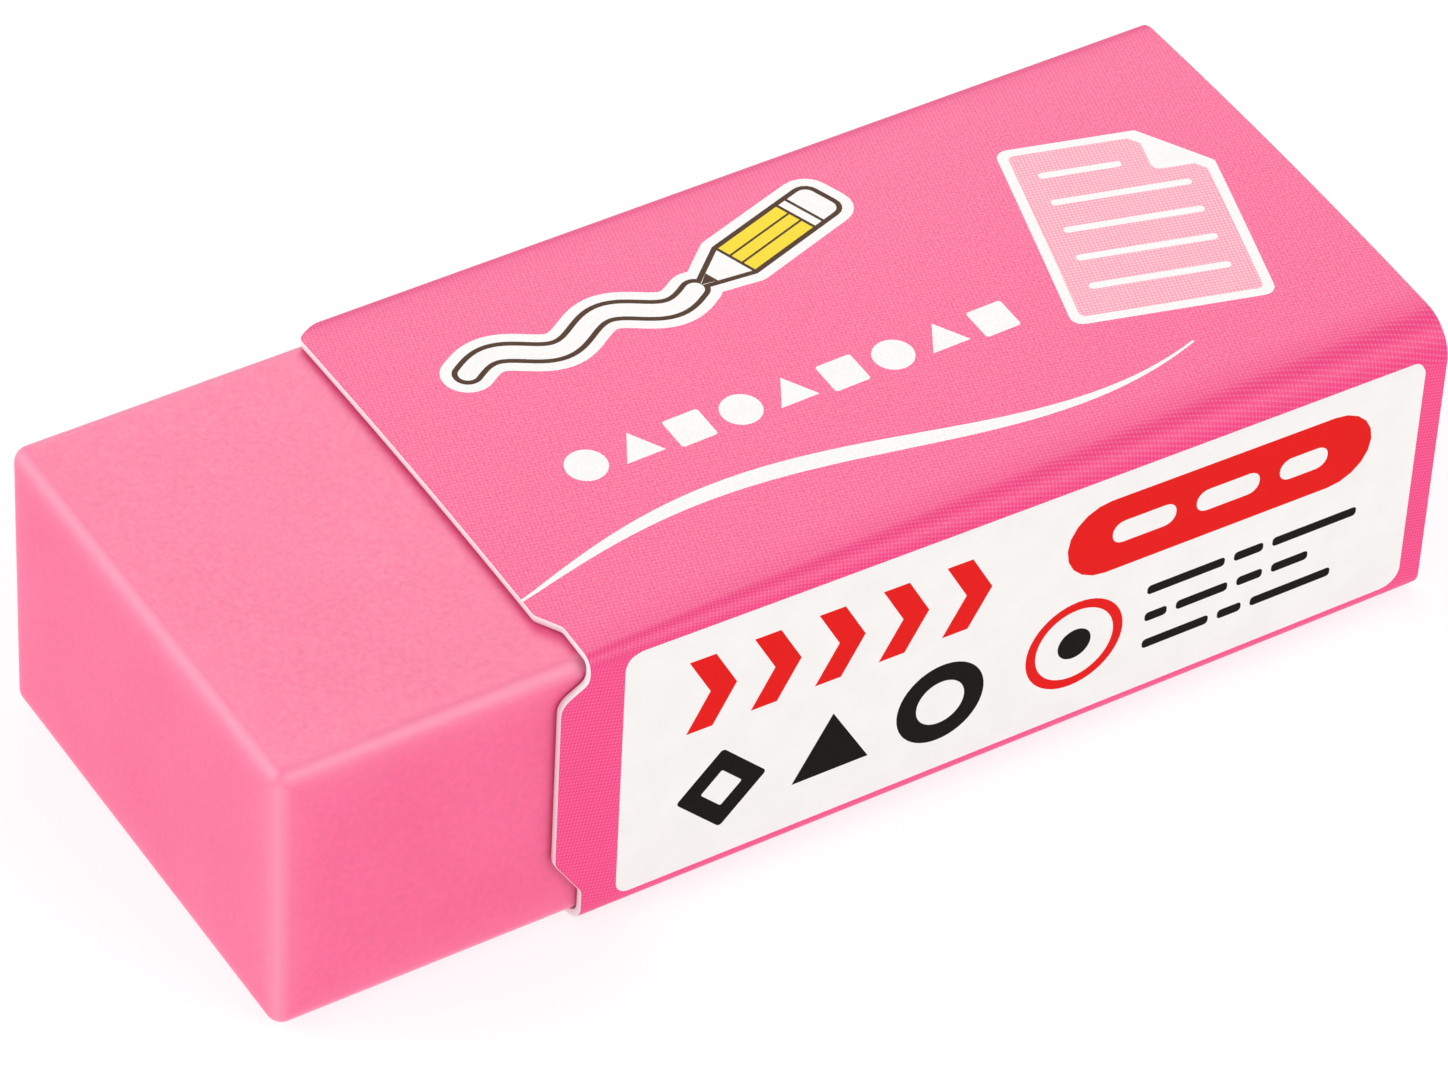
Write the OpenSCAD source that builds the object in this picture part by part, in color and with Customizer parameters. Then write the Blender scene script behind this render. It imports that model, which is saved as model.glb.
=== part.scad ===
// Block eraser of soft rubber in a folded card sleeve.
//
// All sizes are in millimetres, with +Z up. The eraser lies along X, with its
// bare working end at -X and the end that the sleeve covers at +X. The near
// side is -Y and the far side, where the sleeve is glued, is +Y. The origin is
// the middle of the underside.

/* [Rubber block] */
// Length of the block
block_l = 60; // [40:0.5:80]
// Width of the block
block_w = 24.2; // [16:0.1:32]
// Height of the block
block_h = 15.2; // [10:0.1:20]
// Radius of all edges and corners of the block
block_edge_r = 0.8; // [0.4:0.05:1.4]

/* [Card sleeve] */
// Thickness of the card
card_t = 0.36; // [0.2:0.01:0.45]
// Play between the block and the card, on each side
fit_gap = 0.08; // [0.05:0.01:0.3]
// Length of rubber that the top panel leaves bare
bare_l = 14.3; // [8:0.1:20]
// Distance that the side panels reach ahead of the top and bottom panels
side_lead = 0.65; // [0.2:0.05:1.2]
// Rise of the middle of the top panel above its folds
top_crown = 0.3; // [0.1:0.05:0.6]

/* [Fold reliefs] */
// Depth of each relief behind the front edge of the top panel
relief_depth = 0.75; // [0.4:0.05:1.2]
// Straight part of a relief on the top and bottom panels, from the fold
relief_run_wide = 1.1; // [0.5:0.1:3]
// Straight part of a relief on the side panels, from the fold
relief_run_side = 0.95; // [0.3:0.05:2]
// Angle between a relief's long flank and the panel's edge
long_flank_angle = 33; // [25:1:50]
// Angle between a relief's short flank and the panel's edge
short_flank_angle = 60; // [45:1:75]
// Radius of the corners of the cut edge
cut_corner_r = 0.4; // [0.15:0.05:0.6]

/* [Lap seam] */
// Height of the glue flap above the fold that carries it
flap_h = 9; // [5:0.5:11]
// Distance of the flap's ends from the ends of the panel that it is glued to
flap_setback = 1; // [0.5:0.1:2]
// Slant of the flap's ends, measured from upright
flap_end_angle = 25; // [10:1:40]
// Gap between the far panel's lower edge and the fold under it
seam_gap = 0.4; // [0.2:0.05:1]

/* [Hidden] */
$fn = 96;

rubber_pink = [0.98, 0.49, 0.63];
card_pink = [0.97, 0.38, 0.56];

// Overlap of a cutter with the space beside what it cuts
cut = 1;
// Straight steps in each rounded corner of the cut edge
corner_steps = 5;

// The far side has two layers of card, so the sleeve is wider there
wall = fit_gap + card_t;
sleeve_w = block_w + 2 * wall + card_t;
sleeve_h = block_h + 2 * wall;
block_y = -card_t / 2;
block_z = wall;

// The folds keep the same play around the block's edges
fold_r = block_edge_r + wall;

// The flap lies one card's thickness inside the far panel
flap_y = sleeve_w / 2 - card_t;
seam_z = fold_r + seam_gap;

// Places along the sleeve
back_x = block_l / 2;
top_front_x = -block_l / 2 + bare_l;
side_front_x = top_front_x - side_lead;
relief_x = top_front_x + relief_depth;

// The top panel is an arc over the full width, and each top fold is tangent
// to that arc and to its side
crown_r = (sleeve_w * sleeve_w / 4 + top_crown * top_crown) / (2 * top_crown);
crown_z = sleeve_h + top_crown - crown_r;
top_fold_y = sleeve_w / 2 - fold_r;
top_fold_z = crown_z + sqrt(pow(crown_r - fold_r, 2) - pow(top_fold_y, 2));

function unit(v) = v / norm(v);

// Points of the arc of radius r that rounds the corner b between a and c
function rounded(a, b, c, r) =
    let (
        to_a = unit(a - b),
        to_c = unit(c - b),
        half = acos(to_a * to_c) / 2,
        centre = b + unit(to_a + to_c) * r / sin(half),
        start = b + to_a * r / tan(half) - centre,
        turn = (180 - 2 * half) * sign(cross(b - a, c - b))
    )
    [for (i = [0:corner_steps])
        let (angle = turn * i / corner_steps)
        centre + [
            start.x * cos(angle) - start.y * sin(angle),
            start.x * sin(angle) + start.y * cos(angle)
        ]
    ];

// What rounding takes off a square corner: the square from the rounding's
// centre out to the corner, less a circle
module corner_waste(centre, toward, r, circle_r) {
    difference() {
        translate(centre + toward * r / 2) square(r, center = true);
        translate(centre) circle(r = circle_r);
    }
}

module rounded_rectangle(size, r) {
    difference() {
        square(size, center = true);
        for (u = [-1, 1], v = [-1, 1])
            corner_waste([u * (size.x / 2 - r), v * (size.y / 2 - r)], [u, v], r, r);
    }
}

// Three rounded bars crossed, which leaves every edge and corner rounded
module rounded_box(size, r) {
    intersection() {
        linear_extrude(size.z, center = true)
            rounded_rectangle([size.x, size.y], r);
        rotate([90, 0, 0]) linear_extrude(size.y, center = true)
            rounded_rectangle([size.x, size.z], r);
        rotate([90, 0, 90]) linear_extrude(size.x, center = true)
            rounded_rectangle([size.y, size.z], r);
    }
}

// The sleeve's outer shape seen end on, drawn in by an inset all round
module sleeve_outline(inset) {
    half_w = sleeve_w / 2 - inset;
    difference() {
        intersection() {
            translate([-half_w, inset]) square([2 * half_w, sleeve_h + top_crown]);
            translate([0, crown_z]) circle(r = crown_r - inset, $fn = 720);
        }
        for (side = [-1, 1]) {
            corner_waste([side * top_fold_y, fold_r], [side, -1], fold_r, fold_r - inset);
            top_corner_waste(side, inset);
        }
    }
}

// The same at a top fold, where the circle also touches the crowned top
module top_corner_waste(side, inset) {
    centre = [side * top_fold_y, top_fold_z];
    along_arc = unit(centre - [0, crown_z]);
    difference() {
        polygon([
            centre,
            centre + 2 * fold_r * along_arc,
            centre + 2 * fold_r * [side, 1],
            centre + 2 * fold_r * [side, 0]
        ]);
        translate(centre) circle(r = fold_r - inset);
    }
}

// The card seen end on. The outer layer runs from the bottom panel round the
// near, top and far panels, down to the seam.
module outer_layer_profile() {
    difference() {
        sleeve_outline(0);
        sleeve_outline(card_t);
        translate([cut, -cut]) square([sleeve_w, seam_z + cut]);
    }
}

// The inner layer runs from the bottom panel round the far bottom fold to the
// root of the glue flap, one card's thickness inside the far panel
module inner_layer_profile() {
    intersection() {
        translate([-card_t / 2, sleeve_h / 2]) difference() {
            rounded_rectangle([sleeve_w - card_t, sleeve_h], fold_r);
            rounded_rectangle([sleeve_w - 3 * card_t, sleeve_h - 2 * card_t], fold_r - card_t);
        }
        square([sleeve_w, fold_r + seam_gap / 2]);
    }
}

module flap_outline() {
    front = relief_x + flap_setback;
    back = back_x - flap_setback;
    slant = flap_h * tan(flap_end_angle);
    polygon([[front, 0], [back, 0], [back - slant, flap_h], [front + slant, flap_h]]);
}

// The flap rises from the far bottom fold, inside the far panel. The glue
// reaches half way into both layers and starts at the far panel's lower edge.
module glue_flap() {
    translate([0, flap_y, fold_r]) rotate([90, 0, 0])
        linear_extrude(card_t) flap_outline();
    translate([0, flap_y + card_t / 2, fold_r]) rotate([90, 0, 0])
        linear_extrude(card_t) intersection() {
            flap_outline();
            translate([-block_l / 2, seam_gap]) square([block_l, flap_h]);
        }
}

// What the die removes ahead of one panel, drawn with x along the sleeve and y
// across the panel, from one fold's tangent line to the next
module trim_outline(panel_w, edge_x, run) {
    rise = relief_x - edge_x;
    beside = fold_r + cut;
    p = [
        [relief_x, -beside],
        [relief_x, run],
        [edge_x, run + rise / tan(long_flank_angle)],
        [edge_x, panel_w - rise / tan(short_flank_angle)],
        [relief_x, panel_w],
        [relief_x, panel_w + beside]
    ];
    polygon([
        p[0],
        for (i = [1:4]) each rounded(p[i - 1], p[i], p[i + 1], cut_corner_r),
        p[5],
        [side_front_x - cut, panel_w + beside],
        [side_front_x - cut, -beside]
    ]);
}

// Cuts the front edge of the panel that starts at a fold's axis and leaves it
// at an angle. It reaches in as far as that axis, so that the folds are cut too.
module front_trim(fold_axis, angle, panel_w, edge_x, run) {
    translate([0, fold_axis.x, fold_axis.y]) rotate([angle, 0, 0])
        linear_extrude(fold_r + cut) trim_outline(panel_w, edge_x, run);
}

module front_trims() {
    side_h = top_fold_z - fold_r;
    top_w = 2 * top_fold_y;
    front_trim([-top_fold_y, fold_r], 90, side_h, side_front_x, relief_run_side);
    front_trim([-top_fold_y, top_fold_z], 0, top_w, top_front_x, relief_run_wide);
    front_trim([top_fold_y, top_fold_z], -90, side_h, side_front_x, relief_run_side);
    front_trim([top_fold_y - card_t, fold_r], 180, top_w - card_t, top_front_x, relief_run_wide);
}

module eraser_block() {
    color(rubber_pink)
        translate([0, block_y, block_z + block_h / 2])
            rounded_box([block_l, block_w, block_h], block_edge_r);
}

module card_sleeve() {
    color(card_pink) difference() {
        union() {
            translate([side_front_x, 0, 0]) rotate([90, 0, 90])
                linear_extrude(back_x - side_front_x) {
                    outer_layer_profile();
                    inner_layer_profile();
                }
            glue_flap();
        }
        front_trims();
    }
}

eraser_block();
card_sleeve();
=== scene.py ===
# A soft rubber block eraser in its printed card sleeve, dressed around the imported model.
import math

import bpy
import numpy as np
from mathutils import Matrix, Vector, noise
from mathutils.geometry import delaunay_2d_cdt


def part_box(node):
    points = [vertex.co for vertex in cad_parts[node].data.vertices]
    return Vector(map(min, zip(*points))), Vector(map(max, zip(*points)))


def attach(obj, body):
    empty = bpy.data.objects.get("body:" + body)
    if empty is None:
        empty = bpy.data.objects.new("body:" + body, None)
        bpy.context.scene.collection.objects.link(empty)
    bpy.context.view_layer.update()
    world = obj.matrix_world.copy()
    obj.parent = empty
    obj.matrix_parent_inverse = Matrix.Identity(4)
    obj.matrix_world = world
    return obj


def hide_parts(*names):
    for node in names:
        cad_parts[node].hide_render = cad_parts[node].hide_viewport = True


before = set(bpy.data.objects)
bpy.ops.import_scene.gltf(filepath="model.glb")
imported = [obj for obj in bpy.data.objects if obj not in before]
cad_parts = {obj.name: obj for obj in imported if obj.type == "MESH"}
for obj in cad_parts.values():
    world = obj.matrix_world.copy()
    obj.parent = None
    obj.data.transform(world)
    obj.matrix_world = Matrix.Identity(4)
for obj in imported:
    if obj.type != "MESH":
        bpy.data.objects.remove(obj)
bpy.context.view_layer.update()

# Sizes and places are in millimetres. MM turns them into metres where an object is made.
MM = 0.001

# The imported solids
BLOCK_LOW, BLOCK_HIGH = (np.array(corner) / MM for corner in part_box("eraser_block"))
SLEEVE_LOW, SLEEVE_HIGH = (np.array(corner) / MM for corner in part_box("card_sleeve"))
HALF_W = SLEEVE_HIGH[1]
TOP_Z = SLEEVE_HIGH[2]
EDGE_R = 0.8
CARD = 0.36
CROWN = 0.3
SIDE_LEAD = 0.65
RELIEF_DEPTH = 0.75
FLAP_H = 9.0
FLAP_SETBACK = 1.0
SEAM_GAP = 0.4
GLUE = 0.01

# The folds are concentric with the block's edges, apart from the near top one. Its crease is sharp
# beside the front relief and slackens towards the rear.
FOLD_R = EDGE_R + BLOCK_LOW[2]
SHARP_FOLD_R = 0.65
SLACK_FOLD_R = 1.95
SLACKENING = 0.8

# Places along the sleeve
SIDE_FRONT_X = SLEEVE_LOW[0]
TOP_FRONT_X = SIDE_FRONT_X + SIDE_LEAD
RELIEF_X = TOP_FRONT_X + RELIEF_DEPTH
BACK_X = SLEEVE_HIGH[0]

# Reliefs and rounded corners of the die-cut edge
WIDE_RUN = 1.1
SIDE_RUN = 0.95
LONG_FLANK = math.tan(math.radians(33))
SHORT_FLANK = math.tan(math.radians(60))
FLAP_SLANT = math.tan(math.radians(25))
CUT_CORNER_R = 0.55
SIDE_CORNER_R = 0.9

# The relief at the far top fold starts further out than the others and is deeper
FAR_CORNER_INSET = 0.1
FAR_RELIEF_X = RELIEF_X + 0.75

# The crowned top panel is an arc that both top folds are tangent to
CROWN_R = (HALF_W ** 2 + CROWN ** 2) / (2 * CROWN)
CROWN_Z = TOP_Z - CROWN_R


def top_fold_centre(radius):
    """How far out and how high the axis of a top fold lies."""
    out = HALF_W - radius
    return out, CROWN_Z + np.sqrt((CROWN_R - radius) ** 2 - out ** 2)


# Distances round the flat card, from the root of the glue flap to the seam
TOP_FOLD_OUT, TOP_FOLD_Z = top_fold_centre(FOLD_R)
TOP_TILT = math.asin(TOP_FOLD_OUT / (CROWN_R - FOLD_R))
FOLD_ARC = math.pi / 2 * FOLD_R
TOP_FOLD_ARC = (math.pi / 2 - TOP_TILT) * FOLD_R
SEAM_Z = FOLD_R + SEAM_GAP
FLAP_Y = HALF_W - CARD - GLUE
S_ROOT = 0.0
S_BOTTOM = S_ROOT + FOLD_ARC
S_BOTTOM_END = S_BOTTOM + FLAP_Y + HALF_W - 2 * FOLD_R
S_NEAR = S_BOTTOM_END + FOLD_ARC
S_NEAR_END = S_NEAR + TOP_FOLD_Z - FOLD_R
S_TOP = S_NEAR_END + TOP_FOLD_ARC
S_TOP_END = S_TOP + 2 * TOP_TILT * CROWN_R
S_FAR = S_TOP_END + TOP_FOLD_ARC
S_SEAM = S_FAR + TOP_FOLD_Z - SEAM_Z
S_TOP_MIDDLE = (S_TOP + S_TOP_END) / 2
STATIONS = (S_ROOT, S_BOTTOM, S_BOTTOM_END, S_NEAR, S_NEAR_END, S_TOP, S_TOP_END, S_FAR)
PART_STARTS = (-FLAP_H,) + STATIONS
PART_ENDS = STATIONS + (S_SEAM,)
FOLDS = (1, 3, 5, 7)

# How fine the card's mesh is, and how far its shading is softened across the folds
CREASE_STEPS = 14
PANEL_STEP = 1.5
FOLD_SOFTNESS = 0.5

# The cut edge bulges. Its two inner rows of points lie at these shares of the card's thickness, and
# all four rows lean by these amounts towards the printed face.
CUT_BULGE = 0.03
CUT_ROWS = (0.22, 0.78)
ROW_LEANS = (0.7, 0.25, -0.25, -0.7)

# How much bare card shows past the root of the glue flap, and how far inks and cuts run past the edges
SHOW_BARE = 0.15
OVERRUN = 1


# The flat card and its place when folded

def round_a_fold(y, z, radius, angle):
    return y + radius * np.cos(angle), z + radius * np.sin(angle)


def near_fold_radius(x):
    along = np.clip((x - RELIEF_X) / (BACK_X - RELIEF_X), 0, 1)
    return SHARP_FOLD_R + (SLACK_FOLD_R - SHARP_FOLD_R) * along ** SLACKENING


def folded(x, s):
    """Places of the card's outer face at x along the sleeve and s round the flat card."""
    near_r = near_fold_radius(x)
    near_out, near_z = top_fold_centre(near_r)
    near_tilt = np.arcsin(near_out / (CROWN_R - near_r))
    bottom_y = FLAP_Y - FOLD_R
    quarter = math.pi / 2
    part = np.searchsorted(STATIONS, s, side="right")
    t = (s - np.take(PART_STARTS, part)) / (np.take(PART_ENDS, part) - np.take(PART_STARTS, part))
    # The glue flap, then each fold and the panel after it, round to the seam
    parts = (
        (FLAP_Y, FOLD_R + FLAP_H * (1 - t)),
        round_a_fold(bottom_y, FOLD_R, FOLD_R, -quarter * t),
        (bottom_y + (FOLD_R - HALF_W - bottom_y) * t, 0),
        round_a_fold(FOLD_R - HALF_W, FOLD_R, FOLD_R, -quarter * (1 + t)),
        (-HALF_W, FOLD_R + (near_z - FOLD_R) * t),
        round_a_fold(-near_out, near_z, near_r, 2 * quarter - (quarter - near_tilt) * t),
        round_a_fold(0, CROWN_Z, CROWN_R, quarter + near_tilt - (near_tilt + TOP_TILT) * t),
        round_a_fold(TOP_FOLD_OUT, TOP_FOLD_Z, FOLD_R, (quarter - TOP_TILT) * (1 - t)),
        (HALF_W, TOP_FOLD_Z + (SEAM_Z - TOP_FOLD_Z) * t),
    )
    y = np.select([part == n for n in range(len(parts))], [y + 0 * t for y, z in parts])
    z = np.select([part == n for n in range(len(parts))], [z + 0 * t for y, z in parts])
    return np.stack([x, y, z], axis=1)


def outward(x, s):
    """Directions that the outer face looks in, from the folded surface's slopes, softened at the folds."""
    step = 0.01
    along = folded(x + step, s) - folded(x - step, s)
    around = folded(x, s + FOLD_SOFTNESS) - folded(x, s - FOLD_SOFTNESS)
    normal = np.cross(along, around)
    return normal / np.linalg.norm(normal, axis=1, keepdims=True)


def rounded_outline(corners, steps=6):
    """Closed outline through (x, y, radius) corners, with an arc at each one."""
    points = []
    for index, (x, y, radius) in enumerate(corners):
        corner = np.array([x, y])
        before = np.array(corners[index - 1][:2]) - corner
        after = np.array(corners[(index + 1) % len(corners)][:2]) - corner
        before, after = before / np.linalg.norm(before), after / np.linalg.norm(after)
        half = math.acos(np.clip(before @ after, -1, 1)) / 2
        if radius == 0:
            points.append(corner)
            continue
        centre = corner + (before + after) / np.linalg.norm(before + after) * radius / math.sin(half)
        start = corner + before * radius / math.tan(half) - centre
        end = corner + after * radius / math.tan(half) - centre
        angle = math.atan2(start[1], start[0])
        turn = (math.atan2(end[1], end[0]) - angle + math.pi) % (2 * math.pi) - math.pi
        for a in np.linspace(angle, angle + turn, steps):
            points.append(centre + radius * np.array([math.cos(a), math.sin(a)]))
    return np.array(points)


def panel_front(start, end, front, run):
    """Corners of one panel's front edge, with half a relief at each end.

    The sharp crease takes up less card than the other folds, so the flat runs beside it are longer.
    """
    rise = RELIEF_X - front
    spare = FOLD_R - SHARP_FOLD_R
    if start == S_TOP:
        run += spare
    if end == S_NEAR_END:
        end -= spare
    front_r = SIDE_CORNER_R if front == SIDE_FRONT_X else CUT_CORNER_R
    return [
        (RELIEF_X, start + run, CUT_CORNER_R),
        (front, start + run + rise / LONG_FLANK, front_r),
        (front, end - rise / SHORT_FLANK, front_r),
        (RELIEF_X, end, CUT_CORNER_R),
    ]


def card_outline():
    """The flat card's outline: the glue flap, the four front edges, the seam and the rear edge."""
    far_end = S_FAR + TOP_FOLD_Z - FOLD_R
    shoulder = S_ROOT - SEAM_GAP / 2
    flap_front, flap_back = RELIEF_X + FLAP_SETBACK, BACK_X - FLAP_SETBACK
    slant = FLAP_H * FLAP_SLANT
    return rounded_outline([
        (flap_front + slant, -FLAP_H, CUT_CORNER_R),
        (flap_front, shoulder, 0),
        (RELIEF_X, shoulder, 0),
        *panel_front(S_BOTTOM, S_BOTTOM_END, TOP_FRONT_X, WIDE_RUN),
        *panel_front(S_NEAR, S_NEAR_END, SIDE_FRONT_X, SIDE_RUN),
        *panel_front(S_TOP, S_TOP_END, TOP_FRONT_X, WIDE_RUN)[:2],
        (TOP_FRONT_X, S_TOP_END - FAR_CORNER_INSET, CUT_CORNER_R),
        (FAR_RELIEF_X, S_FAR - FOLD_ARC / 2, CUT_CORNER_R),
        (FAR_RELIEF_X, S_FAR + SIDE_RUN, CUT_CORNER_R),
        *panel_front(S_FAR, far_end, SIDE_FRONT_X, SIDE_RUN)[1:3],
        (RELIEF_X - SEAM_GAP * SHORT_FLANK, S_SEAM, 0),
        (BACK_X, S_SEAM, 0),
        (BACK_X, shoulder, 0),
        (flap_back, shoulder, 0),
        (flap_back - slant, -FLAP_H, CUT_CORNER_R),
    ])


# Outlines of the printed shapes, drawn flat. Each is a list of (x, y) points.

CURVE_POINTS, SMALL_DISC_POINTS, LARGE_DISC_POINTS = 60, 36, 48


def disc(x, y, radius, points=SMALL_DISC_POINTS):
    angles = np.linspace(0, 2 * math.pi, points, endpoint=False)
    return np.stack([x + radius * np.cos(angles), y + radius * np.sin(angles)], axis=1)


def upright_triangle(radius):
    return [radius * np.array([math.cos(a), math.sin(a)]) for a in np.radians([90, 210, 330])]


def bar(length, height, radius):
    u, v = length / 2, height / 2
    return rounded_outline([(-u, -v, radius), (u, -v, radius), (u, v, radius), (-u, v, radius)])


def ribbon(centre, widths):
    """A band along a line of points, with a width at each one."""
    along = np.gradient(centre, axis=0)
    across = np.stack([-along[:, 1], along[:, 0]], axis=1) / np.linalg.norm(along, axis=1, keepdims=True)
    side = across * np.reshape(widths, (-1, 1)) / 2
    return np.concatenate([centre + side, (centre - side)[::-1]])


def placed(points, x, y, degrees=0):
    """An outline turned about its own zero and then moved."""
    a = math.radians(degrees)
    return np.array(points) @ np.array([[math.cos(a), math.sin(a)], [-math.sin(a), math.cos(a)]]) + [x, y]


# The printed design of the top panel, with x along it and y across it

STRIPE_POINTS = ((-15.95, -7.75), (-8.9, -6.1), (-1.9, -3.4), (5.1, -8.8), (12.2, -10.5), (19.2, -8.3))
STRIPE_W, STRIPE_END_W, STRIPE_SKEW, STRIPE_TAPER = 0.8, 0.12, 0.85, 1.3
WAVE_START, WAVE_END, WAVE_Y = -10.4, 1.4, 5.7
WAVE_LENGTH, WAVE_RISE, WAVE_W = 5.9, 0.6, 0.9
PENCIL_LENGTH, PENCIL_HALF_W, PENCIL_CONE, PENCIL_TURN = 8.6, 1.1, 2.5, 18
PENCIL_R, PENCIL_END_R, TIP_OFFSET = 0.1, 0.5, (0.3, 0.1)
OUTLINE_W, SURROUND_W = 0.27, 0.8
FIGURE_START, FIGURE_PITCH, FIGURE_SIZE, FIGURE_COUNT = (-8.9, -1.95), (2.62, -0.085), 1.0, 9
TRIANGLE_SHARE, TRIANGLE_DROP, SQUARE_SHARE, SQUARE_R = 1.15, 0.15, 1.85, 0.15
SHEET_PLACE, SHEET_TURN, SHEET_W, SHEET_H = (21.4, -0.1), -16, 9.8, 12.6
SHEET_CORNER, SHEET_LINE = 3.0, 0.5
SHEET_R, SHEET_CUT_R, INNER_R, INNER_CUT_R, TURNED_R, TURNED_END_R = 0.6, 0.3, 0.3, 0.1, 0.4, 0.2
RULE_COUNT, RULE_H, RULE_R, RULE_PITCH, RULE_DOWN, RULE_IN = 5, 0.42, 0.2, 2.0, 2.2, 1.5
FIRST_RULE_TRIM, RULE_TRIM = 5.8, 3.0


def stripe():
    """A plain white stripe that swells and tapers along a smooth curve."""
    t = np.linspace(0, 1, CURVE_POINTS)
    degree = len(STRIPE_POINTS) - 1
    weights = [math.comb(degree, k) * t ** k * (1 - t) ** (degree - k) for k in range(degree + 1)]
    centre = np.array(weights).T @ np.array(STRIPE_POINTS)
    widths = STRIPE_END_W + STRIPE_W * np.sin(math.pi * t ** STRIPE_SKEW) ** STRIPE_TAPER
    return [("white_print", ribbon(centre, widths))]


def wave_line(width):
    x = np.linspace(WAVE_START, WAVE_END, CURVE_POINTS)
    y = WAVE_Y + WAVE_RISE * np.sin((x - WAVE_END) * 2 * math.pi / WAVE_LENGTH)
    ends = [disc(x[0], y[0], width / 2), disc(x[-1], y[-1], width / 2)]
    return [ribbon(np.stack([x, y], axis=1), np.full(len(x), width))] + ends


def pencil_outline(grow):
    half, cone = PENCIL_HALF_W + grow, math.atan2(PENCIL_HALF_W, PENCIL_CONE)
    shoulder = PENCIL_CONE - grow * math.tan(cone / 2)
    tip = -grow / math.sin(cone)
    end = PENCIL_LENGTH + grow
    return rounded_outline([
        (tip, 0, grow + PENCIL_R),
        (shoulder, -half, grow + PENCIL_R),
        (end, -half, grow + PENCIL_END_R),
        (end, half, grow + PENCIL_END_R),
        (shoulder, half, grow + PENCIL_R),
    ])


def pencil_parts():
    """The pencil's own colours, from its point to its cap."""
    half, taper = PENCIL_HALF_W, PENCIL_HALF_W / PENCIL_CONE
    tip, lead, band, cap = 0.1, 0.85, 6.7, 7.3
    long_line_w, cross_line_w = 0.12, 0.16
    yield "white_print", pencil_outline(0)
    yield "brown_print", [(tip, 0), (lead, -lead * taper), (lead, lead * taper)]
    yield "yellow_print", [(PENCIL_CONE, -half), (band, -half), (band, half), (PENCIL_CONE, half)]
    for y in (-half / 3, half / 3):
        yield "brown_print", placed(bar(band - PENCIL_CONE, long_line_w, 0), (band + PENCIL_CONE) / 2, y)
    for x in (PENCIL_CONE, band, cap):
        yield "brown_print", placed(bar(cross_line_w, 2 * half, 0), x, 0)


def pencil_motif():
    """A pencil that draws a wavy line, with a brown outline and a white surround."""
    tip_x, tip_y = WAVE_END + TIP_OFFSET[0], WAVE_Y + TIP_OFFSET[1]
    shapes = []
    for ink, grow in (("white_print", SURROUND_W), ("brown_print", OUTLINE_W), ("white_print", 0)):
        shapes += [(ink, outline) for outline in wave_line(WAVE_W + 2 * grow)]
        shapes.append((ink, placed(pencil_outline(grow), tip_x, tip_y, PENCIL_TURN)))
    shapes += [(ink, placed(part, tip_x, tip_y, PENCIL_TURN)) for ink, part in pencil_parts()]
    return shapes


def plain_figures():
    """A row of plain white discs, triangles and squares."""
    triangle = upright_triangle(TRIANGLE_SHARE * FIGURE_SIZE)
    side = SQUARE_SHARE * FIGURE_SIZE
    figures = (disc(0, 0, FIGURE_SIZE), placed(triangle, 0, -TRIANGLE_DROP), bar(side, side, SQUARE_R))
    shapes = []
    for n in range(FIGURE_COUNT):
        x, y = np.array(FIGURE_START) + n * np.array(FIGURE_PITCH)
        shapes.append(("white_print", placed(figures[n % len(figures)], x, y)))
    return shapes


def paper_motif():
    """A sheet of lined paper with one corner turned down, in a pale screen with white lines."""
    u, v, c, line = SHEET_W / 2, SHEET_H / 2, SHEET_CORNER, SHEET_LINE
    sheet = [
        (-u, -v, SHEET_R),
        (u, -v, SHEET_R),
        (u, v - c, SHEET_CUT_R),
        (u - c, v, SHEET_CUT_R),
        (-u, v, SHEET_R),
    ]
    inner = [
        (-u + line, -v + line, INNER_R),
        (u - line, -v + line, INNER_R),
        (u - line, v - c - line, INNER_CUT_R),
        (u - c - line, v - line, INNER_CUT_R),
        (-u + line, v - line, INNER_R),
    ]
    turned_corner = [(u - c, v, TURNED_END_R), (u - c, v - c, TURNED_R), (u, v - c, TURNED_END_R)]
    shapes = [("white_print", rounded_outline(sheet)), ("pale_print", rounded_outline(inner))]
    shapes.append(("white_print", rounded_outline(turned_corner)))
    for n in range(RULE_COUNT):
        length = SHEET_W - (FIRST_RULE_TRIM if n == 0 else RULE_TRIM)
        rule = bar(length, RULE_H, RULE_R)
        middle, height = -u + RULE_IN + length / 2, v - RULE_DOWN - RULE_PITCH * n
        shapes.append(("white_print", placed(rule, middle, height)))
    return [(ink, placed(outline, *SHEET_PLACE, SHEET_TURN)) for ink, outline in shapes]


# The printed design of the near panel, with x along it and y up from the underside

FIELD_LEFT, FIELD_RIGHT, FIELD_BOTTOM, FIELD_TOP = -13.15, 28.8, 1.15, 15.2
FIELD_RADII, FIELD_STEPS = (0.7, 1.0, 0.6, 1.0), 9
CHEVRON_START, CHEVRON_PITCH, CHEVRON_COUNT = (-9.9, 11.3), 3.3, 5
CHEVRON_HALF_H, CHEVRON_W, CHEVRON_SLANT = 2.1, 1.35, 0.55
PILL_PLACE, PILL_LENGTH, PILL_HEIGHT, PILL_R = (17.95, 11.65), 16.4, 4.4, 2.19
PILL_DASHES, PILL_DASH_H, PILL_DASH_R = ((-4.1, 3.4), (0.4, 3.4), (4.5, 2.6)), 1.3, 0.6
TARGET_PLACE, TARGET_R = (10.6, 5.6), 2.6
TARGET_RINGS = (("red_print", 1), ("white_print", 0.8), ("black_print", 0.34))
MARK_START, MARK_PITCH, MARK_SIZE, MARK_DROP = (-7.9, 5.2), 5.7, 2.3, 0.4
DIAMOND_W, DIAMOND_R, DIAMOND_HOLE_W, DIAMOND_HOLE_R, RING_HOLE = 3.3, 0.2, 1.5, 0.1, 0.55
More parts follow.
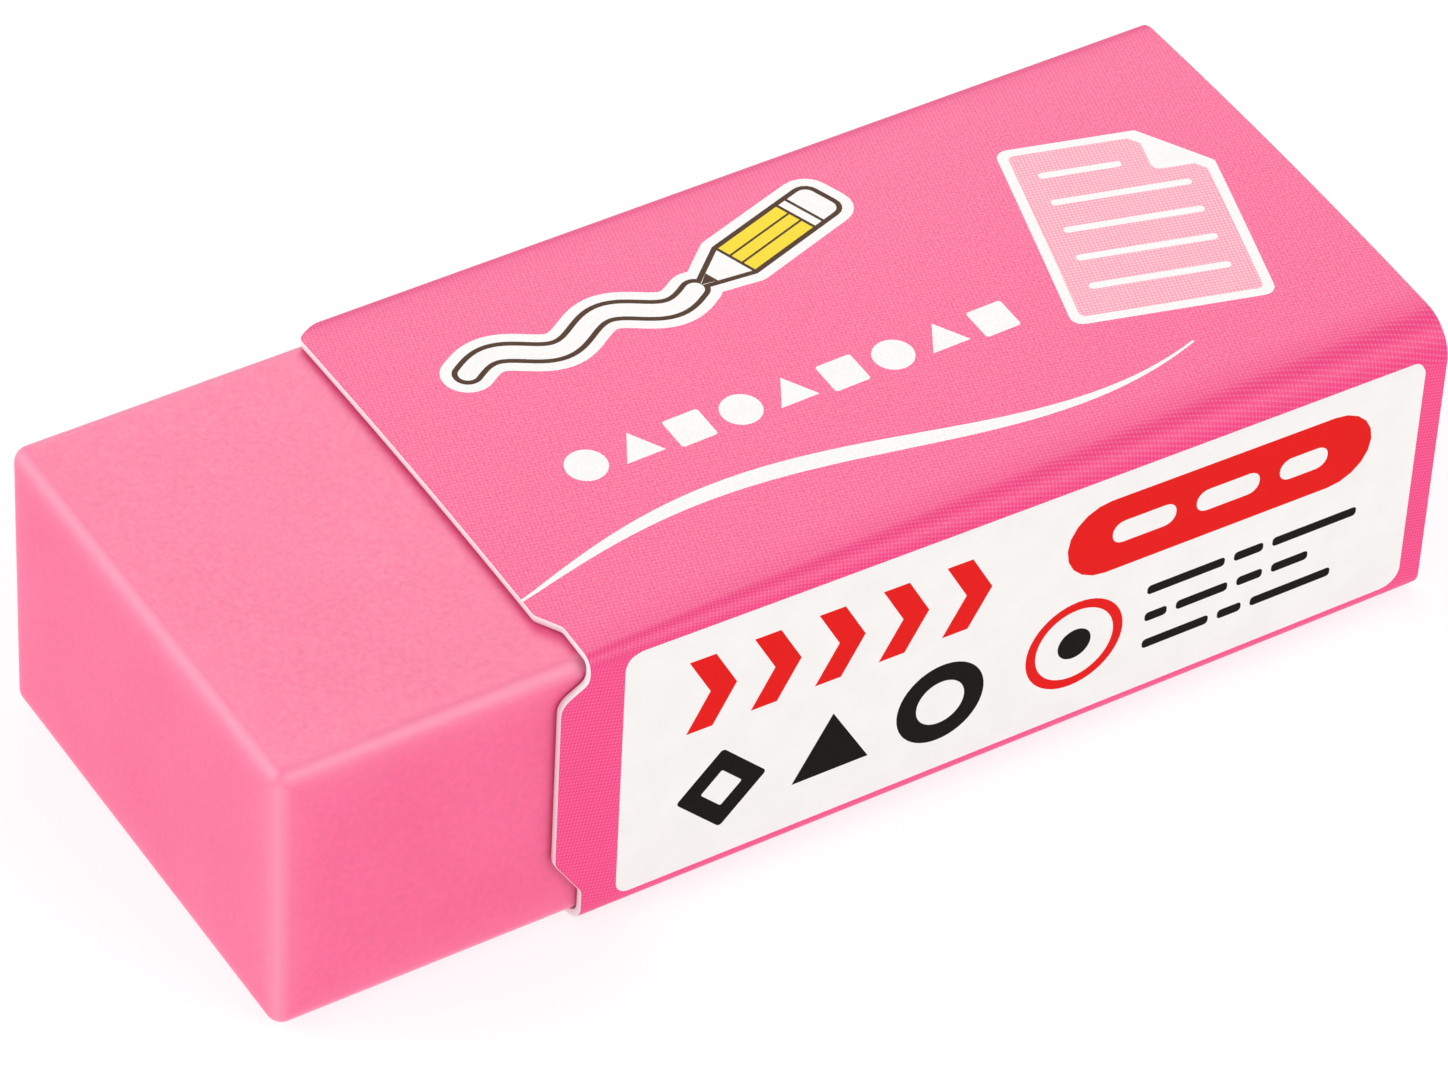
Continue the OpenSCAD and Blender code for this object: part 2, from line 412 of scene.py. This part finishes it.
DASH_H, DASH_R, DASH_GAP, DASH_LEFT = 0.55, 0.2, 0.5, 14.4
DASH_ROWS = ((7.2, (4.2, 1.6, 4.6)), (5.5, (1.2, 2.8, 1.4, 2.0)), (3.8, (3.6, 1.3, 4.4)))


def white_field():
    left, right, bottom, top = FIELD_LEFT, FIELD_RIGHT, FIELD_BOTTOM, FIELD_TOP
    places = ((left, bottom), (right, bottom), (right, top), (left, top))
    corners = [(*place, radius) for place, radius in zip(places, FIELD_RADII)]
    return [("white_print", rounded_outline(corners, FIELD_STEPS))]


def chevrons():
    """A row of red arrowheads that point to the rear."""
    h, w, point = CHEVRON_HALF_H, CHEVRON_W, CHEVRON_HALF_H * CHEVRON_SLANT
    chevron = [(0, -h), (w, -h), (w + point, 0), (w, h), (0, h), (point, 0)]
    x, y = CHEVRON_START
    return [("red_print", placed(chevron, x + n * CHEVRON_PITCH, y)) for n in range(CHEVRON_COUNT)]


def red_pill():
    """A red pill with three plain white dashes in it."""
    x, y = PILL_PLACE
    shapes = [("red_print", placed(bar(PILL_LENGTH, PILL_HEIGHT, PILL_R), x, y))]
    for offset, length in PILL_DASHES:
        shapes.append(("white_print", placed(bar(length, PILL_DASH_H, PILL_DASH_R), x + offset, y)))
    return shapes


def red_target():
    x, y = TARGET_PLACE
    return [(ink, disc(x, y, TARGET_R * share, LARGE_DISC_POINTS)) for ink, share in TARGET_RINGS]


def black_marks():
    """A diamond, a triangle and a ring, all plain."""
    x, y = MARK_START
    ring_x = x + 2 * MARK_PITCH
    return [
        ("black_print", placed(bar(DIAMOND_W, DIAMOND_W, DIAMOND_R), x, y, 45)),
        ("white_print", placed(bar(DIAMOND_HOLE_W, DIAMOND_HOLE_W, DIAMOND_HOLE_R), x, y, 45)),
        ("black_print", placed(upright_triangle(MARK_SIZE), x + MARK_PITCH, y - MARK_DROP)),
        ("black_print", disc(ring_x, y, MARK_SIZE, LARGE_DISC_POINTS)),
        ("white_print", disc(ring_x, y, MARK_SIZE * RING_HOLE, LARGE_DISC_POINTS)),
    ]


def dark_dashes():
    """Three rows of thin dashes."""
    shapes = []
    for y, lengths in DASH_ROWS:
        left = DASH_LEFT
        for length in lengths:
            shapes.append(("black_print", placed(bar(length, DASH_H, DASH_R), left + length / 2, y)))
            left += length + DASH_GAP
    return shapes


def printed_shapes():
    """(ink, outline on the flat card) of every shape, in printing order. Later ones cover earlier ones."""
    left, right, below = SIDE_FRONT_X, BACK_X + OVERRUN, -FLAP_H - OVERRUN
    glue_area = [(left, below), (right, below), (right, SHOW_BARE), (left, SHOW_BARE)]
    on_top = stripe() + pencil_motif() + plain_figures() + paper_motif()
    on_near = white_field() + chevrons() + red_pill() + red_target() + black_marks() + dark_dashes()
    shapes = [("bare_card", np.array(glue_area))]
    shapes += [(ink, outline + [0, S_TOP_MIDDLE]) for ink, outline in on_top]
    shapes += [(ink, outline + [0, S_NEAR - FOLD_R]) for ink, outline in on_near]
    return shapes


# The sleeve's mesh

def grid_lines():
    """Straight cuts across the flat card, close together at the folds."""
    rounds = []
    for part, (start, end) in enumerate(zip(PART_STARTS, PART_ENDS)):
        steps = CREASE_STEPS if part in FOLDS else math.ceil((end - start) / PANEL_STEP)
        rounds += list(np.linspace(start, end, steps, endpoint=False))
    along = np.linspace(SIDE_FRONT_X, BACK_X, math.ceil((BACK_X - SIDE_FRONT_X) / PANEL_STEP) + 1)
    lines = [((SIDE_FRONT_X - OVERRUN, s), (BACK_X + OVERRUN, s)) for s in rounds[1:]]
    lines += [((x, -FLAP_H - OVERRUN), (x, S_SEAM + OVERRUN)) for x in along[1:-1]]
    return lines


def anticlockwise(outline):
    x, y = np.transpose(outline)
    return outline if x @ np.roll(y, -1) > y @ np.roll(x, -1) else outline[::-1]


def flat_mesh(shapes):
    """Points and triangles of the flat card, and the number of the uppermost shape on each triangle."""
    outlines = [card_outline()] + [outline for ink, outline in shapes]
    points, faces, edges = [], [], []
    for outline in outlines:
        faces.append(list(range(len(points), len(points) + len(outline))))
        points += [Vector(p) for p in anticlockwise(outline)]
    for line in grid_lines():
        edges.append((len(points), len(points) + 1))
        points += [Vector(p) for p in line]
    inside_only, merge_distance, list_sources = 1, 1e-5, True
    made = delaunay_2d_cdt(points, edges, faces, inside_only, merge_distance, list_sources)
    inside = [(triangle, max(sources)) for triangle, sources in zip(made[2], made[5]) if 0 in sources]
    used = sorted({corner for triangle, top in inside for corner in triangle})
    number = {corner: n for n, corner in enumerate(used)}
    triangles = np.array([[number[corner] for corner in triangle] for triangle, top in inside])
    return np.array([made[0][corner] for corner in used]), triangles, [top for triangle, top in inside]


def free_edges(triangles):
    """Directed edges that only one triangle has, with the card on their left."""
    directed = {(t[k], t[(k + 1) % 3]) for t in triangles for k in range(3)}
    return [edge for edge in directed if edge[::-1] not in directed]


def new_object(name, vertices, faces):
    mesh = bpy.data.meshes.new(name)
    mesh.from_pydata((np.array(vertices) * MM).tolist(), [], faces)
    made = bpy.data.objects.new(name, mesh)
    bpy.context.collection.objects.link(made)
    return made


def build_sleeve(inks):
    """The folded card as one closed mesh: the printed face, the bare face and the cut edge between them."""
    shapes = printed_shapes()
    flat, triangles, tops = flat_mesh(shapes)
    x, s = flat[:, 0], flat[:, 1]
    place, normal = folded(x, s), outward(x, s)
    rim = free_edges(triangles.tolist())
    sideways = np.zeros_like(place)
    for a, b in rim:
        edge = place[b] - place[a]
        sideways[[a, b]] += np.cross(edge / np.linalg.norm(edge), (normal[a] + normal[b]) / 2)
    rim_points = sorted({a for a, b in rim})
    sideways[rim_points] /= np.linalg.norm(sideways[rim_points], axis=1, keepdims=True)

    # Rows of points down the cut edge, from the printed face to the bare one. Both stop a little short.
    count, rim_count = len(place), len(rim_points)
    on_rim = {point: n for n, point in enumerate(rim_points)}
    drawn_in = place - sideways * CUT_BULGE
    vertices = [drawn_in, drawn_in - normal * CARD]
    vertices += [(place - normal * CARD * share)[rim_points] for share in CUT_ROWS]
    vertices = np.concatenate(vertices)
    rows = [{p: p for p in rim_points}]
    rows += [{p: 2 * count + n * rim_count + on_rim[p] for p in rim_points} for n in range(len(CUT_ROWS))]
    rows += [{p: count + p for p in rim_points}]

    faces = [tuple(t) for t in triangles]
    faces += [tuple(count + c for c in t[::-1]) for t in triangles]
    leans = [tuple(normal[c] for c in t) for t in triangles]
    leans += [tuple(-normal[c] for c in t[::-1]) for t in triangles]
    for a, b in rim:
        for row in range(len(rows) - 1):
            faces.append((rows[row][b], rows[row][a], rows[row + 1][a], rows[row + 1][b]))
            corners = ((b, row), (a, row), (a, row + 1), (b, row + 1))
            leans.append(tuple(sideways[p] + normal[p] * ROW_LEANS[r] for p, r in corners))
    sleeve = new_object("printed_sleeve", vertices, faces)
    mesh = sleeve.data

    names = list(inks)
    for material in inks.values():
        mesh.materials.append(material)
    face_inks = ["pink_print" if top == 0 else shapes[top - 1][0] for top in tops]
    face_inks += ["bare_card"] * (len(faces) - len(face_inks))
    mesh.polygons.foreach_set("material_index", [names.index(ink) for ink in face_inks])
    flat_place = mesh.attributes.new("flat_place", "FLOAT_VECTOR", "POINT")
    flat_rows = np.concatenate([flat, flat] + [flat[rim_points]] * len(CUT_ROWS))
    flat_place.data.foreach_set("vector", np.column_stack([flat_rows, np.zeros(len(flat_rows))]).ravel())
    mesh.shade_smooth()
    mesh.normals_split_custom_set([Vector(n).normalized() for face in leans for n in face])
    return sleeve


# The block's mesh

EDGE_STEPS, FACE_STEP = 14, 0.8
# The softened edge, and how far from it the softening still has an effect
SOFT_EDGE_R = SLACK_FOLD_R - BLOCK_LOW[2]
SOFT_REACH, SOFT_BLEND = 6.0, 4.4
# Depths of the hollow and the waves in each face, and the rise of the top under the crowned panel
HOLLOW, WAVINESS, WAVINESS_SCALE = 0.02, 0.01, 0.16
TOP_SWELL, SWELL_RAMP = 0.26, 0.42
# How far the painted edge highlight reaches, how much of it follows the rounding, how much more the
# upward edges get, and how much less of it the near top edge has. It paints the light that the edges catch.
HIGHLIGHT_REACH = 0.6
HIGHLIGHT_ROUNDING_SHARE, MORE_HIGHLIGHT_ON_TOP = 0.3, 0.5
NEAR_TOP_HIGHLIGHT_CUT = 0.2


def block_steps(low, high):
    """Distances across the block, in even steps with equal angles round its softest edge."""
    edge = SOFT_EDGE_R * (1 - np.tan(np.linspace(math.pi / 4, 0, EDGE_STEPS)))
    middle = np.linspace(low + SOFT_EDGE_R, high - SOFT_EDGE_R, math.ceil((high - low) / FACE_STEP))
    return np.concatenate([low + edge[:-1], middle, (high - edge[:-1])[::-1]])


def smooth(t):
    t = np.clip(t, 0, 1)
    return t * t * (3 - 2 * t)


def block_surface(point):
    """The rounded place of a point on the block's sharp box, and the direction that it faces.

    The near top edge is softer where the slack fold gets to when the sleeve is pushed right forward.
    """
    slack_r = near_fold_radius(point[0] + SIDE_FRONT_X - BLOCK_LOW[0]) - BLOCK_LOW[2]
    depth = max(point[1] - BLOCK_LOW[1], BLOCK_HIGH[2] - point[2])
    soft_r = EDGE_R + max(slack_r - EDGE_R, 0) * smooth((SOFT_REACH - depth) / SOFT_BLEND)
    radii = np.array([EDGE_R, soft_r, soft_r])
    core = np.clip(point, BLOCK_LOW + radii, BLOCK_HIGH - radii)
    facing = (point - core) / radii
    facing /= np.linalg.norm(facing)
    return core + radii * facing, facing


def unevenness(sharp, place, facing):
    """How far a place on the block's surface is moved by the hollows, the waves and the swell."""
    share = (sharp - BLOCK_LOW) / (BLOCK_HIGH - BLOCK_LOW) * 2 - 1
    along_face = np.abs(facing) < 0.5
    flatness = np.prod(1 - share ** 4 * along_face)
    wave = noise.noise(Vector(place) * WAVINESS_SCALE)
    across, along = 1 - share[1] ** 2, smooth((1 - abs(share[0])) / SWELL_RAMP)
    swell = TOP_SWELL * across * along * smooth(facing[2])
    return np.array([0, 0, swell]) - facing * (HOLLOW * flatness + WAVINESS * (1 + wave))


def painted_edge_highlight(place, facing):
    """How strong the painted highlight on the rubber is, from 0 on the faces to 1 on an edge."""
    smaller, larger = sorted(np.abs(facing))[1:]
    depth = sorted(np.minimum(place - BLOCK_LOW, BLOCK_HIGH - place))[1]
    on_edge, near_edge = 2 * smaller * larger, math.exp(-depth / HIGHLIGHT_REACH)
    upward, nearward = max(facing[2], 0), max(-facing[1], 0)
    share = HIGHLIGHT_ROUNDING_SHARE + MORE_HIGHLIGHT_ON_TOP * upward
    return (share * on_edge + (1 - share) * near_edge) * (1 - NEAR_TOP_HIGHLIGHT_CUT * 2 * upward * nearward)


def build_block(rubber):
    """The rubber block, rounded all over, with faces that are a little uneven."""
    steps = [block_steps(low, high) for low, high in zip(BLOCK_LOW, BLOCK_HIGH)]
    sizes = [len(s) for s in steps]
    number, vertices, edges, faces = {}, [], [], []

    def vertex(key):
        if key not in number:
            sharp = np.array([steps[axis][key[axis]] for axis in range(3)])
            place, facing = block_surface(sharp)
            number[key] = len(vertices)
            vertices.append(place + unevenness(sharp, place, facing))
            # edges collects the strength of the painted edge highlight at each point
            edges.append(painted_edge_highlight(place, facing))
        return number[key]

    for axis in range(3):
        u, v = (axis + 1) % 3, (axis + 2) % 3
        for side in (0, sizes[axis] - 1):
            for i in range(sizes[u] - 1):
                for j in range(sizes[v] - 1):
                    corners = []
                    for du, dv in ((0, 0), (1, 0), (1, 1), (0, 1)):
                        key = [0, 0, 0]
                        key[axis], key[u], key[v] = side, i + du, j + dv
                        corners.append(vertex(tuple(key)))
                    faces.append(corners if side else corners[::-1])
    block = new_object("rubber_block", vertices, faces)
    block.data.materials.append(rubber)
    # The edge attribute holds the strength of the painted highlight at each point
    block.data.attributes.new("edge", "FLOAT", "POINT").data.foreach_set("value", edges)
    block.data.shade_smooth()
    return block


# Materials. The card's patterns are in millimetres on the flat card, and the rubber's are in metres.

# Pitch and turn of the print screen, and the distances from a dot's middle at which its edge fades
SCREEN_PITCH = 0.18
SCREEN_TURN = math.radians(15)
DOT_EDGE = (0.38, 0.66)

# Noise values that count as its lowest and highest
NOISE_RANGE = (0.3, 0.7)

# How many times each pattern repeats in a unit of length, and how fine its detail is
MOTTLE, CARD_GRAIN, FIBRES = (0.5, 3), (7, 4), (4, 5)
CLOUDS, SPECKLE, RUBBER_GRAIN = (160, 3), (3400, 4), (5200, 3)

# Darkest and lightest of the mottle and the speckle
MOTTLE_SHADES = (0.975, 1.015)
SPECKLE_SHADES = (0.96, 1.04)

# Mean and spread of the roughness, and gloss
PRINT_ROUGHNESS, CARD_ROUGHNESS, RUBBER_ROUGHNESS = (0.5, 0.07), (0.85, 0.07), (0.47, 0.05)
CARD_GLOSS, RUBBER_GLOSS = 0.2, 0.55

# Depth of the fine grain in metres, and how much of it shows on the rubber
GRAIN_DEPTH = 6e-6
RUBBER_BUMP = 0.35

# How much light enters the rubber, how far each colour spreads, and that distance
GLOW_SHARE, GLOW_SPREAD, GLOW_REACH = 0.5, (1.0, 0.4, 0.5), 1.2

# Linear colours
CARD_WHITE = (0.98, 0.96, 0.96)
CARD_SHADE = (0.95, 0.91, 0.915)
RUBBER_DEEP = (0.88, 0.102, 0.262)
RUBBER_PALE = (0.91, 0.120, 0.288)
# Pale colour painted on the block's rounded edges as a highlight
RUBBER_EDGE_HIGHLIGHT = (1.0, 0.34, 0.49)
# Solid colour, colour of the gaps between the dots, how much the gaps show, and gloss
INKS = {
    "pink_print": ((0.87, 0.014, 0.192), (0.95, 0.25, 0.42), 0.52, 0.61),
    "white_print": ((0.87, 0.845, 0.825), (0.9, 0.88, 0.87), 0.3, 0.7),
    "pale_print": ((0.93, 0.26, 0.37), (0.95, 0.68, 0.74), 1.0, 0.6),
    "red_print": ((0.76, 0.004, 0.003), (0.80, 0.012, 0.010), 0.3, 0.08),
    "black_print": ((0.005, 0.004, 0.003), (0.012, 0.010, 0.008), 0.3, 0.05),
    "brown_print": ((0.075, 0.028, 0.010), (0.12, 0.05, 0.02), 0.3, 0.08),
    "yellow_print": ((0.97, 0.74, 0.004), (0.98, 0.80, 0.05), 0.4, 0.15),
}


def new_material(name, gloss):
    material = bpy.data.materials.new(name)
    material.use_nodes = True
    shader = material.node_tree.nodes["Principled BSDF"]
    shader.inputs["Specular IOR Level"].default_value = gloss
    return material, shader


def add_node(material, kind, links=None, **values):
    """A node with its inputs linked or set by name or number, and its own settings by name."""
    tree = material.node_tree
    made = tree.nodes.new("ShaderNode" + kind)
    for name, value in values.items():
        setattr(made, name, value)
    for socket, value in (links or {}).items():
        if isinstance(value, bpy.types.NodeSocket):
            tree.links.new(value, made.inputs[socket])
        else:
            made.inputs[socket].default_value = value
    return made


def add_noise(material, place, pattern):
    scale, detail = pattern
    links = {"Vector": place, "Scale": scale, "Detail": detail}
    return add_node(material, "TexNoise", links).outputs["Fac"]


def add_range(material, value, before, after, kind="LINEAR"):
    """The value, taken from one range to another."""
    (low, high), (to_low, to_high) = before, after
    links = {"Value": value, "From Min": low, "From Max": high, "To Min": to_low, "To Max": to_high}
    return add_node(material, "MapRange", links, interpolation_type=kind).outputs["Result"]


def add_mix(material, factor, first, second):
    """A blend of two colours. Its colour sockets share their names with others, so they go by number."""
    return add_node(material, "Mix", {0: factor, 6: first, 7: second}, data_type="RGBA").outputs[2]


def add_shading(material, colour, pattern, shades):
    """The colour, made darker and lighter by a noise pattern."""
    shade = add_range(material, pattern, NOISE_RANGE, shades)
    return add_node(material, "VectorMath", {0: colour, 1: shade}, operation="MULTIPLY").outputs[0]


def add_finish(material, shader, colour, grain, roughness, depth, strength=1.0):
    """Links the colour, a roughness that varies with the grain, and the grain's bumps."""
    mean, spread = roughness
    rough = add_range(material, grain, NOISE_RANGE, (mean - spread, mean + spread))
    bump = add_node(material, "Bump", {"Height": grain, "Distance": depth, "Strength": strength})
    material.node_tree.links.new(colour, shader.inputs["Base Color"])
    material.node_tree.links.new(rough, shader.inputs["Roughness"])
    material.node_tree.links.new(bump.outputs[0], shader.inputs["Normal"])


def card_ink(name, colour, pale, screen, gloss):
    """Print on coated card: a fine dot screen with paler gaps, faint mottle and the card's own grain."""
    material, shader = new_material(name, gloss)
    flat_place = add_node(material, "Attribute", attribute_name="flat_place").outputs["Vector"]
    turning = {"Vector": flat_place, "Rotation": (0, 0, SCREEN_TURN), "Scale": (1 / SCREEN_PITCH,) * 3}
    turned = add_node(material, "Mapping", turning).outputs[0]
    dotting = {"Vector": turned, "Scale": 1.0, "Randomness": 0.0}
    dots = add_node(material, "TexVoronoi", dotting, voronoi_dimensions="2D").outputs["Distance"]
    gaps = add_range(material, dots, DOT_EDGE, (0, screen), "SMOOTHSTEP")
    tint = add_mix(material, gaps, (*colour, 1), (*pale, 1))
    shaded = add_shading(material, tint, add_noise(material, flat_place, MOTTLE), MOTTLE_SHADES)
    grain = add_noise(material, flat_place, CARD_GRAIN)
    add_finish(material, shader, shaded, grain, PRINT_ROUGHNESS, GRAIN_DEPTH)
    return material


def bare_card():
    """Unprinted card: warm white pulp with fibres."""
    material, shader = new_material("bare_card", CARD_GLOSS)
    flat_place = add_node(material, "Attribute", attribute_name="flat_place").outputs["Vector"]
    fibres = add_noise(material, flat_place, FIBRES)
    colour = add_mix(material, fibres, (*CARD_SHADE, 1), (*CARD_WHITE, 1))
    add_finish(material, shader, colour, fibres, CARD_ROUGHNESS, 2 * GRAIN_DEPTH)
    return material


def soft_rubber():
    """Soft vinyl rubber: slightly clear, dull and clouded, with a fine grain and a painted highlight on its
    edges.
    """
    material, shader = new_material("soft_rubber", RUBBER_GLOSS)
    shader.inputs["Subsurface Weight"].default_value = GLOW_SHARE
    shader.inputs["Subsurface Radius"].default_value = GLOW_SPREAD
    shader.inputs["Subsurface Scale"].default_value = GLOW_REACH * MM
    place = add_node(material, "TexCoord").outputs["Object"]
    clouds = add_range(material, add_noise(material, place, CLOUDS), NOISE_RANGE, (0, 1))
    clouded = add_mix(material, clouds, (*RUBBER_DEEP, 1), (*RUBBER_PALE, 1))
    speckled = add_shading(material, clouded, add_noise(material, place, SPECKLE), SPECKLE_SHADES)
    # The edge attribute says how much painted highlight covers the clouded colour
    edge = add_node(material, "Attribute", attribute_name="edge").outputs["Fac"]
    highlighted = add_mix(material, edge, speckled, (*RUBBER_EDGE_HIGHLIGHT, 1))
    grain = add_noise(material, place, RUBBER_GRAIN)
    add_finish(material, shader, highlighted, grain, RUBBER_ROUGHNESS, GRAIN_DEPTH, RUBBER_BUMP)
    return material


def card_materials():
    made = {name: card_ink(name, *values) for name, values in INKS.items()}
    made["bare_card"] = bare_card()
    return made


# The studio: a pale floor, soft lights and a camera at the photograph's angle

# The camera's aim and distance, its angles in degrees, its lens and sensor, and its reach in metres
AIM, CAMERA_DISTANCE = (-0.56, -0.78, 6.96), 358.8
CAMERA_AZIMUTH, CAMERA_ELEVATION, CAMERA_ROLL = -33.6, 42.57, 3.29
CAMERA_LENS, CAMERA_SENSOR, CAMERA_SIGHT = 198.3, 36, 100
FLOOR_SIZE, FLOOR_SHADE, FLOOR_GLOW = 6000, 0.35, 0.72
FLOOR_ROUGHNESS, FLOOR_GLOSS = 0.9, 0.1
SKY_STRENGTH = 0.6
# Name, place in metres, size in metres, power in watts, and whether it gives more than a sheen
LIGHTS = (
    ("back_light", (0.46, 0.75, 0.82), 0.7, 9.2, False),
    ("right_light", (0.42, -0.95, 0.7), 0.7, 5.2, True),
    ("fold_light", (0.5, -0.75, 0.8), 0.6, 2.4, False),
    ("left_light", (-0.95, 0.5, 0.7), 0.8, 6.4, True),
)


def add_floor():
    half = FLOOR_SIZE / 2
    corners = [(-half, -half, 0), (half, -half, 0), (half, half, 0), (-half, half, 0)]
    floor = new_object("floor", corners, [(0, 1, 2, 3)])
    material, shader = new_material("pale_floor", FLOOR_GLOSS)
    shader.inputs["Roughness"].default_value = FLOOR_ROUGHNESS
    shader.inputs["Base Color"].default_value = (FLOOR_SHADE,) * 3 + (1,)
    shader.inputs["Emission Color"].default_value = (1, 1, 1, 1)
    shader.inputs["Emission Strength"].default_value = FLOOR_GLOW
    floor.data.materials.append(material)


def add_soft_light(name, place, size, power, full):
    """A square light at place, in metres, that faces the object. Unless full, it only gives a sheen."""
    data = bpy.data.lights.new(name, "AREA")
    data.size = size
    data.energy = power
    light = bpy.data.objects.new(name, data)
    light.location = place
    light.rotation_euler = (-Vector(place)).to_track_quat("-Z", "Y").to_euler()
    light.visible_camera = False
    light.visible_diffuse = full
    bpy.context.collection.objects.link(light)


def add_sky():
    world = bpy.data.worlds.new("studio")
    bpy.context.scene.world = world
    world.use_nodes = True
    background = world.node_tree.nodes["Background"]
    background.inputs["Color"].default_value = (1, 1, 1, 1)
    background.inputs["Strength"].default_value = SKY_STRENGTH


def add_camera():
    azimuth, elevation = math.radians(CAMERA_AZIMUTH), math.radians(CAMERA_ELEVATION)
    flat = math.cos(elevation)
    back = Vector((math.sin(azimuth) * flat, -math.cos(azimuth) * flat, math.sin(elevation)))
    level = Vector((math.cos(azimuth), math.sin(azimuth), 0))
    turn = Matrix.Rotation(math.radians(CAMERA_ROLL), 3, back)
    right, up = turn @ level, turn @ back.cross(level)
    data = bpy.data.cameras.new("camera")
    data.lens = CAMERA_LENS
    data.sensor_width = CAMERA_SENSOR
    data.clip_end = CAMERA_SIGHT
    camera = bpy.data.objects.new("camera", data)
    rotation = Matrix((right, up, back)).transposed().to_4x4()
    camera.matrix_world = Matrix.Translation((Vector(AIM) + back * CAMERA_DISTANCE) * MM) @ rotation
    bpy.context.collection.objects.link(camera)
    bpy.context.scene.camera = camera


add_sky()
add_floor()
for light in LIGHTS:
    add_soft_light(*light)
add_camera()
bpy.context.scene.view_settings.view_transform = "Standard"

block = build_block(soft_rubber())
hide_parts("eraser_block")
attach(block, "block")

sleeve = build_sleeve(card_materials())
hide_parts("card_sleeve")
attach(sleeve, "sleeve")
